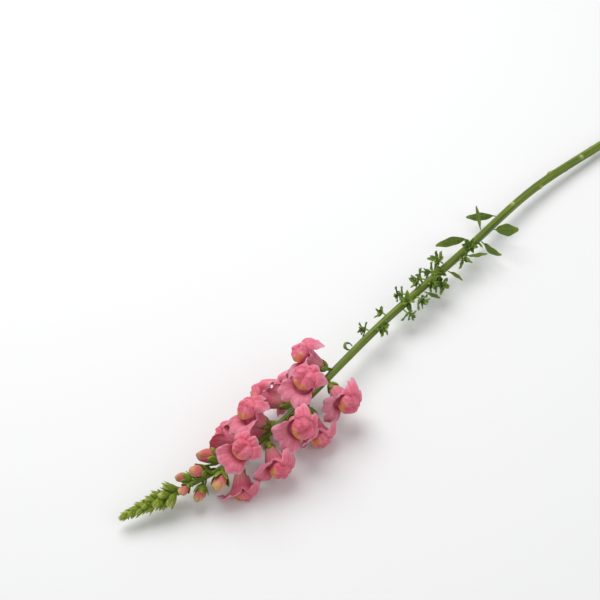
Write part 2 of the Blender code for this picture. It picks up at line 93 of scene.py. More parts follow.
# Spiral of flowers and buds up the head from the lowest: kind, count, spacing, and the leans and
# sizes of the first and the last. The green buds stand closer and closer up to the last one
GOLDEN_ANGLE = 137.5
FIRST_ANGLE = -50
BLOOM_FIRST = 206 * MM
BLOOM_COUNT = 13
GREEN_BUD_COUNT = 26
GREEN_BUD_LAST = 4 * MM
GREEN_BUD_CROWDING = 1.3
HEAD = (
    ("bloom", BLOOM_COUNT, 9.2 * MM, (27, 27), (1.0, 0.86)),
    ("bud", 8, 5.4 * MM, (36, 42), (1.36, 0.74)),
    ("green", GREEN_BUD_COUNT, 0.0, (42, 82), (1.34, 0.86)),
)
# The share of the open flowers, at the top, that are smaller
YOUNG_BLOOMS = 0.4
# The angle that the surface leaves free on each side, and how far the rest is let round
FREE_ANGLE = 75
TURNED_ASIDE = 0.66
STALK_LENGTH = 4.5 * MM

# Corolla: height, half width and half depth of its tube, then its two lips
TUBE_SECTIONS = ((0.35, 2.1, 2.1), (6, 4.4, 4.6), (17, 7.6, 8.2))
PETALS = ((60, 42, 1.0), (120, 42, 1.0), (-40, 31, 0.95), (-90, 25, 0.84), (-140, 31, 0.95))
NOTCH_REACH = 0.32
UPPER_REACH = 14.0
UPPER_RISE = 9.5
UPPER_CURL = 0.62
UPPER_FLARE = 1.4
LOWER_REACH = 10.5
LOWER_RISE = 5.0
LOWER_CURL = 1.08
RUFFLE_WAVES = 4
FACE_NARROWING = 0.88
# How far round the sides the lips blend, and how much the lobes tilt, droop at their sides, dip at
# their edge and flare
LIP_BLEND = 0.24
LOBE_SWAY = 1.5
LOBE_DROOP = 1.3
EDGE_DIP = 1.1
EDGE_FLARE = 0.035
COROLLA_COLUMNS = 144
TUBE_RINGS = 9
LIP_RINGS = 24
PALATE_RINGS = 16
PETAL_THICKNESS = 0.45
# The puffed lower lip: how high it rises, and the share of the lip where the palate takes over
PUFF = 5.0
PUFF_FOOT = 0.36
# Palate from its foot to its top: height, half width and half depth towards the mouth, then the
# same towards the lower lip
PALATE_WAYS = np.array((0.0, 0.34, 0.7, 1.0))
PALATE_MOUTH = np.array(((20.5, 6.0, 6.2), (25.0, 9.6, 9.6), (29.4, 6.8, 6.4), (31.0, 0.0, 0.0)))
PALATE_LIP = np.array(((28.0, 9.4, 6.8), (29.6, 8.2, 5.0), (30.9, 5.2, 2.8), (31.0, 0.0, 0.0)))
PALATE_SHIFT = -3.2
# The palate's two humps: how far aside, how wide and how high. Its furrow: how wide and how deep
PALATE_HUMP = (4.2, 2.6, 1.3)
PALATE_FURROW = (1.8, 2.0)
PALATE_DIMPLE = 0.28

# Waves of the petals, height and count of each: in their reach, over their face and in their flare
EDGE_WAVES = ((0.03, 7), (0.022, 15))
CRINKLE_WAVES = ((0.6, 9), (0.42, 17), (0.2, 29))
FLARE_WAVES = ((1.0, 11),)

# Heights and radii of a flower's calyx: its cup, the tips of its teeth, the notches between them
# and its inside, then the same of a green bud
CUP_PROFILE = ((-2.6, 1.05), (-1.6, 1.3), (-0.7, 2.6), (0.3, 3.7), (1.0, 4.0))
CUP_TOOTH = (7.0, 5.9)
CUP_NOTCH = (2.5, 4.45)
CUP_INSIDE = (0.0, 2.6)
GREEN_PROFILE = ((-2.2, 0.7), (-0.6, 0.9), (0.5, 1.45), (1.4, 2.0))
GREEN_TOOTH = (7.2, 2.2)
GREEN_NOTCH = (2.5, 2.3)
GREEN_INSIDE = (0.6, 0.8)

# Closed bud's radii at heights from its foot to its tip
BUD_HEIGHTS = np.array((0.35, 3.2, 7.4, 11.0, 13.0))
BUD_RADII = np.array((1.9, 3.4, 4.0, 2.9, 0.6))
BUD_COLUMNS = 48
BUD_RINGS = 24
BUD_NOD = 1.7

# Petals that would reach below this height bend away along the surface
FLOOR_EASE = 5 * MM
FLOOR_SLIDE = 0.7
LEAF_EASE = 4 * MM

# Leafy side shoots: station, angle around the stem, lean, stalk length, sideways bend, number of
# leaves and leaf length, in millimetres and degrees
SHOOTS = (
    (260, -64, 25, 5, 1, 7, 8),
    (267, 66, -10, 5, 2, 6, 9),
    (282, -46, 20, 4, 0, 4, 9),
    (299, 96, -25, 9, -3, 7, 8),
    (313, -76, 30, 8, 2, 8, 9),
    (317, 74, -15, 7, -2, 8, 10),
    (338, -84, 25, 7, 3, 8, 10),
    (345, 96, 5, 8, 3, 8, 10),
    (362, -60, 20, 7, -2, 7, 10),
    (394, 28, 25, 6, 0, 6, 9),
    (328, -38, 15, 4, 0, 5, 9),
    (350, 40, 10, 4, 1, 6, 8),
    (376, 76, -20, 6, 2, 6, 9),
    (305, 36, 10, 4, 1, 5, 10),
    (334, 44, -10, 5, -1, 6, 10),
    (354, -108, 15, 8, 2, 6, 10),
)
SHOOT_GAP = 0.45 * MM
SHOOT_FOOT_LEAN = 12
SHOOT_RADIUS = 0.8 * MM
# A direction that no shoot takes, for turning axes across one
ANY_SIDE = (0.3, 0.2, 1.0)
# How far a shoot's stalk and the middle of its leaves stay above the surface
SHOOT_CLEARANCE = 2.0 * MM
LEAF_CLEARANCE = 1.6 * MM
# Points along a shoot and along each of its leaves
SHOOT_POINTS = 13
# How far a shoot's leaves open from its foot to its tip, and how far its young ones do, in degrees.
# How much they curl, in radians, and how wide they are for their length
LEAF_OPENINGS = (82, 44)
YOUNG_OPENINGS = (10, 50)
SHOOT_LEAF_CURLS = (-0.5, 1.3)
SHOOT_LEAF_WIDTHS = (0.19, 0.26)
# Points along a larger leaf
LEAF_POINTS = 25
# Young leaves at a shoot's tip, and their size against the shoot's others
TUFT_COUNT = 5
TUFT_SIZE = 0.62

# Larger leaves: station, angle around the stem, lean, length, half width, curl, sweep and twist
LEAVES = (
    (236, -62, -8, 17, 2.3, 290, 0, 0),
    (384, 92, -50, 19, 2.8, 30, 2, 15),
    (424, 72, -20, 24, 6.2, 20, 0, 10),
    (408, 92, 10, 25, 3.8, -25, 3, 20),
    (414, -32, -10, 24, 1.9, 30, -3, 0),
    (402, -92, 30, 32, 4.6, 25, 2, -10),
    (444, -104, 15, 28, 4.2, 30, -3, 10),
    (326, 106, -32, 15, 2.6, 50, 2, 10),
    (358, 98, -20, 17, 2.2, 70, 2, -10),
    (401, 50, 5, 16, 2.0, 35, -2, 0),
)

# Seeds of the random draws. Each shoot adds its number to its seed
SEPAL_SEED = 21
RUFFLE_SEED = 7
BLOOM_SEED = 31
BUD_SEED = 41
LEAF_SEED = 51
SHOOT_SEED = 100

FLOOR_REACH = 4.0
CAMERA_PLACE = (0.7039, 0.5210, 0.95674)
CAMERA_AZIMUTH = 134.83
CAMERA_ELEVATION = 48
CAMERA_LENS = 90
CAMERA_SENSOR = 36


# Numbers

def smooth_curve(x, knots, values):
    """Read, at x, a smooth curve through the values at the knots."""
    slopes = np.gradient(values, knots)
    i = np.clip(np.searchsorted(knots, x) - 1, 0, len(knots) - 2)
    step = knots[i + 1] - knots[i]
    t = (x - knots[i]) / step
    rise = 3 * t**2 - 2 * t**3
    start = (t**3 - 2 * t**2 + t) * step * slopes[i]
    end = (t**3 - t**2) * step * slopes[i + 1]
    return values[i] * (1 - rise) + values[i + 1] * rise + start + end


def smooth_step(low, high, x):
    t = np.clip((x - low) / (high - low), 0, 1)
    return t * t * (3 - 2 * t)


def bump_at(x, middle, width):
    return np.exp(-(((x - middle) / width) ** 2))


def between(ends, way):
    return ends[0] + (ends[1] - ends[0]) * way


def unit(vector):
    return vector / np.linalg.norm(vector)


def angles_round(count):
    return np.linspace(0, 2 * math.pi, count, endpoint=False)


def spread(shape, *values):
    """Values side by side at each point of a grid."""
    return np.stack([np.broadcast_to(value, shape) for value in values], axis=-1)


def ring(angles, radius, height, shift=0.0):
    """Points round a flower's axis, moved along its Y by a shift."""
    return spread(angles.shape, radius * np.cos(angles), shift + radius * np.sin(angles), height)


def headings(angles, first, second):
    """Directions at angles from a first axis towards a second."""
    return np.cos(angles)[:, None] * first + np.sin(angles)[:, None] * second


def axis_point(station):
    """The stem's axis at a station from the bud tip."""
    x = TIP_X - station
    return np.array((x, *(smooth_curve(x, COURSE[:, 0], COURSE[:, k]) for k in (1, 2))))


def stem_radius(station):
    return float(np.interp(station, RADIUS_STATIONS, RADII))


def growth_place(station, around, lean, lift=0.0, size=1.0):
    """The place of what grows out of the stem, at a height above the stem's axis."""
    centre = axis_point(station)
    reach = 1 * MM
    along = unit(axis_point(station - reach) - axis_point(station + reach))
    side = unit(np.cross((0, 0, 1), along))
    up = np.cross(along, side)
    turn = math.radians(around)
    tilt = math.radians(lean)
    outward = math.cos(turn) * up + math.sin(turn) * side
    z_axis = math.cos(tilt) * outward + math.sin(tilt) * along
    y_axis = math.cos(tilt) * along - math.sin(tilt) * outward
    x_axis = np.cross(y_axis, z_axis)
    return Place(np.column_stack((x_axis, y_axis, z_axis)), centre + z_axis * lift, size)


class Place(NamedTuple):
    """Axes in columns, origin and size of what grows out of the stem"""
    axes: np.ndarray
    origin: np.ndarray
    size: float = 1.0

    def put(self, points):
        """Points in millimetres of the growth, in the frame's metres."""
        return self.origin + (np.asarray(points, float) * self.size * MM) @ self.axes.T

    def settle(self, points):
        """Put the points, and bend what would reach below the surface away along it."""
        points = self.put(points)
        away = np.array((self.axes[0, 2], self.axes[1, 2], 0.0))
        away = away / max(np.linalg.norm(away), MM)
        eased = kept_up(points[..., 2], FLOOR_EASE)
        moved = points + (eased - points[..., 2])[..., None] * away * FLOOR_SLIDE
        moved[..., 2] = eased
        return moved


def kept_up(height, ease):
    """Heights that come down smoothly onto zero and never pass it."""
    eased = np.where(height < ease, (height + ease) ** 2 / (4 * ease), height)
    return np.where(height < -ease, 0.0, eased)


def raised(spine, clearance):
    """Bend a leaf's spine up where it would come nearer the surface than the clearance."""
    spine = np.array(spine, float)
    spine[:, 2] = kept_up(spine[:, 2] - clearance, LEAF_EASE) + clearance
    return spine


def surface_normals(grid):
    """Unit normals of a grid of points that is closed along its rows."""
    along = np.gradient(grid, axis=0)
    around = np.roll(grid, -1, axis=1) - np.roll(grid, 1, axis=1)
    normals = np.cross(around, along)
    return normals / np.maximum(np.linalg.norm(normals, axis=2, keepdims=True), 1e-12)


def turned_aside(around):
    """The angle a flower takes when the surface is in the way of a free one."""
    around = (around + 180) % 360 - 180
    free = min(abs(around), FREE_ANGLE)
    pressed = (abs(around) - free) * TURNED_ASIDE
    return math.copysign(free + pressed, around)


def calyx_lift(station, size):
    """Height above the stem's axis of a flower at the end of its stalk."""
    return stem_radius(station) + STALK_LENGTH * size


def calyx_place(station, around, lean, size):
    return growth_place(station, around, lean, calyx_lift(station, size), size)


def spiral_places():
    """Kind, number, station, angle, lean and size of every flower and bud from the lowest up."""
    places = []
    around = FIRST_ANGLE
    station = BLOOM_FIRST
    for kind, count, spacing, leans, sizes in HEAD:
        foot = station
        for number in range(count):
            way = number / (count - 1)
            grown = max(0.0, 1 - (1 - way) / YOUNG_BLOOMS) if kind == "bloom" else way
            angle = turned_aside(around)
            if kind == "green":
                angle = around
                station = between((foot, GREEN_BUD_LAST), 1 - (1 - way) ** GREEN_BUD_CROWDING)
            places.append((kind, number + 1, station, angle, between(leans, way),
                           between(sizes, grown)))
            around += GOLDEN_ANGLE
            station -= spacing
    return places


def places_of(kind):
    return [place[1:] for place in spiral_places() if place[0] == kind]


# Meshes

def new_object(name, shape):
    made = bpy.data.objects.new(name, shape)
    bpy.context.scene.collection.objects.link(made)
    return made


class Growth:
    """Lofted bodies gathered into one mesh, with two vectors kept at each point for its colour."""

    def __init__(self):
        self.points = []
        self.faces = []
        self.way = []
        self.part = []
        self.count = 0

    def loft(self, rings, foot, top, way, part):
        """A closed body through rings of equal count, with a point at each end."""
        rings = np.asarray(rings, float)
        rows, columns = rings.shape[:2]
        way = np.broadcast_to(np.asarray(way, float), rings.shape).reshape(-1, 3)
        part = np.broadcast_to(np.asarray(part, float), rings.shape).reshape(-1, 3)
        self.points.append(np.concatenate((rings.reshape(-1, 3), [foot, top])))
        self.way.append(np.concatenate((way, way[:1], way[-1:])))
        self.part.append(np.concatenate((part, part[:1], part[-1:])))
        here = np.arange(rows * columns).reshape(rows, columns) + self.count
        beside = np.roll(here, -1, axis=1)
        ends = np.full((2, columns), self.count + rows * columns) + [[0], [1]]
        quads = np.stack((here[:-1], beside[:-1], beside[1:], here[1:]), axis=-1)
        feet = np.column_stack((ends[0], beside[0], here[0]))
        tops = np.column_stack((ends[1], here[-1], beside[-1]))
        self.faces += quads.reshape(-1, 4).tolist() + feet.tolist() + tops.tolist()
        self.count += rows * columns + 2

    def build(self, name, material, node):
        """Make the gathered bodies one piece that stands for a node of the frame."""
        mesh = bpy.data.meshes.new(name)
        points = np.concatenate(self.points)
        mesh.from_pydata(points.tolist(), [], self.faces)
        for label, values in (("way", self.way), ("part", self.part)):
            attribute = mesh.attributes.new(label, "FLOAT_VECTOR", "POINT")
            attribute.data.foreach_set("vector", np.concatenate(values).astype(np.float32).ravel())
        mesh.shade_smooth()
        mesh.materials.append(material)
        made = new_object(name, mesh)
        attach(made, "root")
        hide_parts(node)


def lobe_shapes(angles, draw):
    """Reach of the lips round the flower, the way across the nearest lobe, and the lobes' tilt."""
    reach = np.full_like(angles, NOTCH_REACH)
    across = np.ones_like(angles)
    sway = np.zeros_like(angles)
    for middle, half_width, length in PETALS:
        offset = ((angles - middle + 180) % 360 - 180) / half_width
        inside = np.clip(1 - offset**2, 0, None)
        lobe = NOTCH_REACH + (length - NOTCH_REACH) * np.sqrt(inside)
        lobe = np.where(np.abs(offset) < 1, lobe, 0)
        across = np.where(lobe > reach, offset, across)
        reach = np.maximum(reach, lobe)
        tilt = draw.uniform(-1, 1) + draw.uniform(-1.2, 1.2) * offset
        sway = sway + tilt * inside
    return reach, across, sway


def palate_rings(upper, cosine, sine, phases):
    """The palate's rings up to its top, their ways for its streaks and their share of orange."""
    rings = []
    ways = []
    orange = []
    for way in np.linspace(0, 1, PALATE_RINGS + 1)[:-1]:
        rounded = math.sin(way * math.pi / 2)
        at_mouth, at_lip = ([smooth_curve(rounded, PALATE_WAYS, column) for column in side.T]
                            for side in (PALATE_MOUTH, PALATE_LIP))
        height, half_width, half_depth = np.outer(at_mouth, upper) + np.outer(at_lip, 1 - upper)
        across = half_width * cosine
        depth = half_depth * sine
        crown = smooth_step(0.1, 0.6, rounded)
        humps = bump_at(np.abs(across), *PALATE_HUMP[:2])
        furrow = bump_at(across, 0, PALATE_FURROW[0])
        level = height + crown * (PALATE_HUMP[2] * humps - PALATE_FURROW[1] * furrow)
        dimple = np.sin(0.8 * across + 1.1 * depth + phases[0])
        dimple = dimple + 0.7 * np.sin(1.5 * depth - 0.9 * across + phases[1])
        fade = crown * (1 - smooth_step(0.8, 1.0, rounded))
        level = level + PALATE_DIMPLE * dimple * fade
        rings.append(spread(sine.shape, across, PALATE_SHIFT + depth, level))
        ways.append(spread(sine.shape, across, 0.3 * depth) / PALATE_MOUTH[1, 1])
        band = smooth_step(0.2, 0.42, rounded) * (1 - smooth_step(0.5, 0.86, rounded))
        middle = 0.3 + 0.7 * bump_at(across, 0, 5.0)
        orange.append(band * smooth_step(0.2, 0.75, sine) * middle)
    return rings, ways, orange


def corolla(growth, place, ruffle, tone, draw, ruffle_height):
    """An open flower: tube, two-lobed upper lip, and a lower lip puffed up into the palate."""
    degrees = np.linspace(0, 360, COROLLA_COLUMNS, endpoint=False)
    angles = np.radians(degrees)
    cosine = np.cos(angles)
    sine = np.sin(angles)
    upper = smooth_step(-LIP_BLEND, LIP_BLEND, sine)
    reach, across, sway = lobe_shapes(degrees, draw)
    phases = [draw.uniform(0, 2 * math.pi) for _ in range(8)]

    def waves(kinds, first):
        return sum(height * np.sin(count * angles + phase)
                   for (height, count), phase in zip(kinds, phases[first:]))

    reach = reach * (1 + waves(EDGE_WAVES, 0))
    crinkle = waves(CRINKLE_WAVES, 2)
    flutter = waves(FLARE_WAVES, 5)
    knots, widths, depths = np.array(TUBE_SECTIONS, float).T
    throat_height, throat_width, throat_depth = TUBE_SECTIONS[-1]
    rings = []
    tube_ways = np.linspace(0, 1, TUBE_RINGS)
    for way in tube_ways:
        height = between((knots[0], knots[-1]), way)
        groove = 1 - 0.05 * way * bump_at(np.abs(degrees - 270), 16, 9)
        rings.append(spread(sine.shape, smooth_curve(height, knots, widths) * groove * cosine,
                            smooth_curve(height, knots, depths) * groove * sine, height))
    steps = np.linspace(0, 1, LIP_RINGS + 1)[1:]
    for step in steps:
        share = step * reach
        out = upper * UPPER_REACH * share**UPPER_FLARE + (1 - upper) * LOWER_REACH * share
        rise_up = UPPER_RISE * np.sin(UPPER_CURL * math.pi * share)
        rise_down = LOWER_RISE * np.sin(LOWER_CURL * math.pi * share)
        height = throat_height + upper * rise_up + (1 - upper) * rise_down
        height = height + ruffle_height * step**2 * np.sin(RUFFLE_WAVES * angles + ruffle)
        height = height + ruffle_height * step**3 * crinkle * (1.8 - 1.1 * upper)
        height = height + LOBE_SWAY * step**2 * sway
        height = height - LOBE_DROOP * step**2 * across**2 * (0.4 + 0.6 * upper)
        height = height - EDGE_DIP * smooth_step(0.8, 1.0, step) * (1 - 0.5 * upper)
        narrow = throat_width + (throat_depth - throat_width) * step
        flare = 1 + EDGE_FLARE * step**3 * flutter
        width = (narrow + out) * cosine * (1 - step * (1 - FACE_NARROWING)) * flare
        rings.append(spread(sine.shape, width, (throat_depth + out) * sine * flare, height))
    skin = place.settle(rings)
    thin = np.concatenate((np.ones(TUBE_RINGS), 1 - 0.65 * steps**2))
    inward = -surface_normals(skin) * (PETAL_THICKNESS * MM * thin)[:, None, None]
    near_surface = np.clip(1 - skin[..., 2] / FLOOR_EASE, 0, 1)
    skin[..., 2] += np.clip(-inward[..., 2], 0, None) * near_surface
    palate, palate_way, orange = palate_rings(upper, cosine, sine, phases[6:])
    palate = place.settle(palate)
    top = PALATE_MOUTH[-1, 0] - PALATE_FURROW[1]
    ends = place.settle(((0, 0, knots[0]), (0, PALATE_SHIFT, top)))
    lining = puffed_lining(skin + inward, steps, near_surface, upper, cosine, place, palate[0])
    rings = np.concatenate((skin, lining, palate))
    shape = rings.shape[:2]
    lip_ways = 0.4 + 0.6 * steps
    along = np.concatenate((0.4 * tube_ways, lip_ways, lip_ways[::-1],
                            np.linspace(0.62, 0.8, len(palate))))
    way = spread(shape, cosine, sine, along[:, None])
    way[-len(palate):, :, :2] = palate_way
    part = spread(shape, upper, 0.0, tone)
    part[-len(palate):, :, 0] = 0.0
    part[-len(palate):, :, 1] = orange
    growth.loft(rings, *ends, way, part)


def puffed_lining(inside, steps, near_surface, upper, cosine, place, palate_foot):
    """The lips' inner face from their edge to the throat. The lower lip's swells to the palate."""
    inside = inside[TUBE_RINGS:]
    free = 1 - near_surface[TUBE_RINGS:]
    swell = np.sin(math.pi / 2 * np.clip((1 - steps) / (1 - PUFF_FOOT), 0, 1)) ** 1.3
    swell = np.outer(swell, (1 - upper) * (1 - 0.25 * bump_at(cosine, 0, 0.2))) * free * PUFF
    inside = inside + swell[..., None] * place.axes[:, 2] * place.size * MM
    foot = np.searchsorted(steps, PUFF_FOOT)
    for row in range(foot):
        climb = (steps[foot] - steps[row]) / steps[foot]
        joined = between((inside[foot], palate_foot), climb)
        inside[row] = between((inside[row], joined), (1 - upper)[:, None])
    return inside[::-1]


def closed_bud(growth, place, draw):
    """A coloured bud: folded petals that overlap in a low spiral, its tip nodding."""
    angles = angles_round(BUD_COLUMNS)
    turn = draw.uniform(0, 2 * math.pi)
    foot, top = BUD_HEIGHTS[[0, -1]]
    heights = np.array([foot + (top - foot) * math.sin(way * math.pi / 2)
                        for way in np.linspace(0, 1, BUD_RINGS + 1)[:-1]])
    rings = []
    rims = []
    for height in heights:
        radius = smooth_curve(height, BUD_HEIGHTS, BUD_RADII)
        fold = np.mod((3 * (angles + turn) + 0.5 * height) / (2 * math.pi), 1.0)
        lap = 1.0 * (fold - 0.5) * smooth_step(3.0, 9.0, height)
        dent = -0.7 * bump_at(fold, 0.97, 0.08) * smooth_step(2.5, 6.0, height)
        rims.append(bump_at(fold, 0.9, 0.08) * smooth_step(3.0, 7.0, height))
        radius = radius * (1 + 0.05 * np.cos(2 * (angles + turn))) + lap + dent
        rings.append(ring(angles, radius, height, BUD_NOD * (height / top) ** 2))
    ends = place.put(((0, 0, foot), (0, 1.8, top + 0.1)))
    shape = np.shape(rims)
    way = spread(shape, np.cos(angles), np.sin(angles), (heights / top)[:, None])
    growth.loft(place.put(rings), *ends, way, spread(shape, draw.random(), rims, 0.0))


def sepal_cup(growth, place, profile, tooth, notch, inner, columns, turn, tone):
    """A stalk and cup of five pointed sepals. Heights and radii are in millimetres."""
    angles = angles_round(columns)
    across = 2 * np.abs((angles / (2 * math.pi) * 5 + turn) % 1.0 - 0.5)
    keel = 1 - across
    rim_height, rim_radius = (between(ends, 1 - across**1.5) for ends in zip(notch, tooth))
    rings = [ring(angles, radius, height) for height, radius in profile]
    along = [0.0] * len(profile)
    base_height, base_radius = profile[-1]
    outside = [(way, 0.13, 0.1 * across * way) for way in np.linspace(0, 1, 8)[1:]]
    inside = [(way, 0.10, 0.45) for way in np.linspace(1, 0, 6)[1:]]
    for way, ridge, cut in outside + inside:
        swell = between((base_radius, rim_radius), way)
        radius = swell * (1 + ridge * keel * math.sin(math.pi * way)) - cut
        rings.append(ring(angles, radius, between((base_height, rim_height), way)))
        along.append(way)
    rings.append(ring(angles, inner[1], inner[0]))
    along.append(0.0)
    ends = place.put(((0, 0, profile[0][0]), (0, 0, inner[0])))
    way = spread((len(rings), columns), across, np.array(along)[:, None], 0.0)
    growth.loft(place.put(rings), *ends, way, (tone, 1.0, 0.0))


def core_bud(growth, place, top, radius, part):
    """The closed petals that show between the sepals of a green bud."""
    angles = angles_round(18)
    foot = 0.4
    rings = []
    for way in np.linspace(0.1, 1, 9)[:-1]:
        wide = radius * math.sqrt(1 - (2 * way**1.3 - 1) ** 2) * (1 - 0.08 * np.cos(2 * angles))
        rings.append(ring(angles, wide, between((foot, top), way), 0.3 * way))
    ends = place.put(((0, 0, foot), (0, 0.3, top)))
    growth.loft(place.put(rings), *ends, (1.0, 0.5, 0.0), part)


def blade(growth, spine, half_widths, flat, thickness, fold, wave, tone, columns=9):
    """A thin leaf along a spine, with a midrib, folded up at its edges and waved along them."""
    spine = np.asarray(spine, float)
    heading = np.gradient(spine, axis=0)
    heading = heading / np.linalg.norm(heading, axis=1, keepdims=True)
    side = flat - heading * (heading @ flat)[:, None]
    side = side / np.linalg.norm(side, axis=1, keepdims=True)
    face = np.cross(heading, side)
    shares = np.linspace(-1, 1, columns)
    rings = []
    along = np.linspace(0, 1, len(spine))
    wave_height, wave_count, phase = wave
    for i in range(1, len(spine) - 1):
        half = half_widths[i]
        lift = fold * np.abs(shares) ** 1.3 * half
        lift = lift - 0.12 * half * bump_at(shares, 0, 0.16)
        ripple = wave_height * np.sin(wave_count * 2 * math.pi * along[i] + phase * np.sign(shares))
        lift = lift + ripple * np.abs(shares) ** 2.2
        half_thick = thickness / 2 * (1 - 0.75 * np.abs(shares) ** 3)
        rib = 0.55 * thickness * bump_at(shares, 0, 0.14)
        middle = spine[i] + half * shares[:, None] * side[i] + lift[:, None] * face[i]
        lower = middle - (half_thick + rib)[:, None] * face[i]
        upper = middle + half_thick[:, None] * face[i]
        rings.append(np.concatenate((lower, upper[::-1])))
    way = spread((len(rings), 2 * columns), np.concatenate((shares, shares[::-1])),
                 along[1:-1, None], np.repeat((1.0, 0.0), columns))
    growth.loft(rings, spine[0], spine[-1], way, tone)


def stalk(growth, course, radii, columns, part):
    """A thin round stalk along points."""
    course = np.asarray(course, float)
    heading = np.gradient(course, axis=0)
    heading = heading / np.linalg.norm(heading, axis=1, keepdims=True)
    rings = []
    for point, ahead, radius in zip(course, heading, radii):
        side = unit(np.cross(ahead, ANY_SIDE))
        rings.append(point + radius * headings(angles_round(columns), side, np.cross(side, ahead)))
    growth.loft(rings, course[0], course[-1], (0.0, 0.3, 0.0), part)


def curled(foot, reach, angles, ahead, aside):
    """A line from its foot, each step turned by an angle from one direction towards another."""
    line = [foot]
    for angle in angles[:-1]:
        line.append(line[-1] + reach * (math.cos(angle) * ahead + math.sin(angle) * aside))
    return np.array(line)


def read_line(ways, steps, line):
    """Points at ways along a line that is known at steps."""
    return np.column_stack([np.interp(ways, steps, line[:, k]) for k in range(3)])


# Shader nodes

def add_node(tree, kind, values, **traits):
    """A node with its traits set, and its sockets given a value or a link."""
    made = tree.nodes.new(kind)
    for name, trait in traits.items():
        setattr(made, name, trait)
    for name, value in values.items():
        socket = made.inputs[name]
        if isinstance(value, bpy.types.NodeSocket):
            tree.links.new(value, socket)
        else:
            socket.default_value = value
    return made


def calculate(tree, operation, first, second=0.0, clamped=False):
    made = add_node(tree, "ShaderNodeMath", {0: first, 1: second}, operation=operation,
                    use_clamp=clamped)
    return made.outputs[0]


def product(tree, first, second):
    return calculate(tree, "MULTIPLY", first, second)


def rgba(colour):
    return (*colour, 1.0)


def mixed(tree, share, first, second):
    """Two colours mixed by a share."""
    made = add_node(tree, "ShaderNodeMix", {0: share, 6: first, 7: second}, data_type="RGBA")
    return made.outputs[2]


def tinted(tree, colour, tint, mask, amount=1.0):
    """A colour taken towards a tint by an amount of a mask."""
    if amount != 1.0:
        mask = product(tree, mask, amount)
    return mixed(tree, mask, colour, rgba(tint))


def ramped(tree, value, low, high):
    """A smooth climb from 0 to 1 as the value passes from low to high."""
    made = add_node(tree, "ShaderNodeMapRange", {0: value, 1: low, 2: high},
                    interpolation_type="SMOOTHSTEP")
    return made.outputs[0]


def kept_vector(tree, label):
    """The vector that the mesh keeps under a label, and its three values."""
    read = add_node(tree, "ShaderNodeAttribute", {}, attribute_name=label).outputs["Vector"]
    return read, add_node(tree, "ShaderNodeSeparateXYZ", {0: read}).outputs


def noise_mask(tree, place, scale, detail, contrast):
    """Noise spread around its middle by a contrast, from 0 to 1."""
    noise = add_node(tree, "ShaderNodeTexNoise",
                     {"Vector": place, "Scale": scale, "Detail": detail})
    away = calculate(tree, "SUBTRACT", noise.outputs["Fac"], 0.5)
    return calculate(tree, "ADD", product(tree, away, contrast), 0.5, clamped=True)


def effect(tree, name, values, draw_mask):
    """The Mask of a shared node group with named inputs, which is built at its first use."""
    group = bpy.data.node_groups.get(name)
    if group is None:
        group = bpy.data.node_groups.new(name, "ShaderNodeTree")
        for label in values:
            kind = "NodeSocketVector" if label == "Way" else "NodeSocketFloat"
            group.interface.new_socket(label, in_out="INPUT", socket_type=kind)
        group.interface.new_socket("Mask", in_out="OUTPUT", socket_type="NodeSocketFloat")
        mask = draw_mask(group, group.nodes.new("NodeGroupInput").outputs)
        group.links.new(mask, group.nodes.new("NodeGroupOutput").inputs["Mask"])
    return add_node(tree, "ShaderNodeGroup", values, node_tree=group).outputs["Mask"]


def mottle(tree, size, detail, contrast):
    """Cloudy variation over a surface."""
    def draw_mask(group, inputs):
        place = add_node(group, "ShaderNodeTexCoord", {}).outputs["Object"]
        scale = calculate(group, "DIVIDE", 1.0, inputs["Size"])
        return noise_mask(group, place, scale, inputs["Detail"], inputs["Contrast"])

    values = {"Size": size, "Detail": detail, "Contrast": contrast}
    return effect(tree, "mottle", values, draw_mask)


def streaks(tree, way, count, length, contrast):
    """Fine streaks that run out along a petal or up a stem."""
    def draw_mask(group, inputs):
        parts = add_node(group, "ShaderNodeSeparateXYZ", {0: inputs["Way"]}).outputs
        place = add_node(group, "ShaderNodeCombineXYZ", {
            0: product(group, parts[0], inputs["Count"]),
            1: product(group, parts[1], inputs["Count"]),
            2: product(group, parts[2], inputs["Length"])})
        return noise_mask(group, place.outputs[0], 1.0, 4.0, inputs["Contrast"])

    values = {"Way": way, "Count": count, "Length": length, "Contrast": contrast}
    return effect(tree, "streaks", values, draw_mask)


def veins(tree, across, along, pairs):
    """A pale midrib and slanting side veins of a blade."""
    def draw_mask(group, inputs):
        apart = calculate(group, "ABSOLUTE", inputs["Across"])
        rib = ramped(group, apart, 0.13, 0.02)
        place = calculate(group, "SUBTRACT", inputs["Along"], product(group, apart, 0.35))
        wave = calculate(group, "PINGPONG", product(group, place, inputs["Pairs"]), 0.5)
        side = product(group, ramped(group, wave, 0.09, 0.0), 0.45)
        return calculate(group, "MAXIMUM", rib, side)

    return effect(tree, "veins", {"Across": across, "Along": along, "Pairs": pairs}, draw_mask)


def new_material(name):
    made = bpy.data.materials.new(name)
    made.use_nodes = True
    return made, made.node_tree, made.node_tree.nodes["Principled BSDF"]


def set_surface(tree, shader, colour, roughness, relief, **traits):
    """Give a shader its colour, its roughness (mask, low, high), its relief (mask, strength,
    distance) and traits that are the same all over."""
    tree.links.new(colour, shader.inputs["Base Color"])
    mask, low, high = roughness
    rough = add_node(tree, "ShaderNodeMapRange", {0: mask, 3: low, 4: high})
    tree.links.new(rough.outputs[0], shader.inputs["Roughness"])
    mask, strength, distance = relief
    bump = add_node(tree, "ShaderNodeBump",
                    {"Height": mask, "Strength": strength, "Distance": distance})
    tree.links.new(bump.outputs["Normal"], shader.inputs["Normal"])
    for name, value in traits.items():
        shader.inputs[name.replace("_", " ")].default_value = value


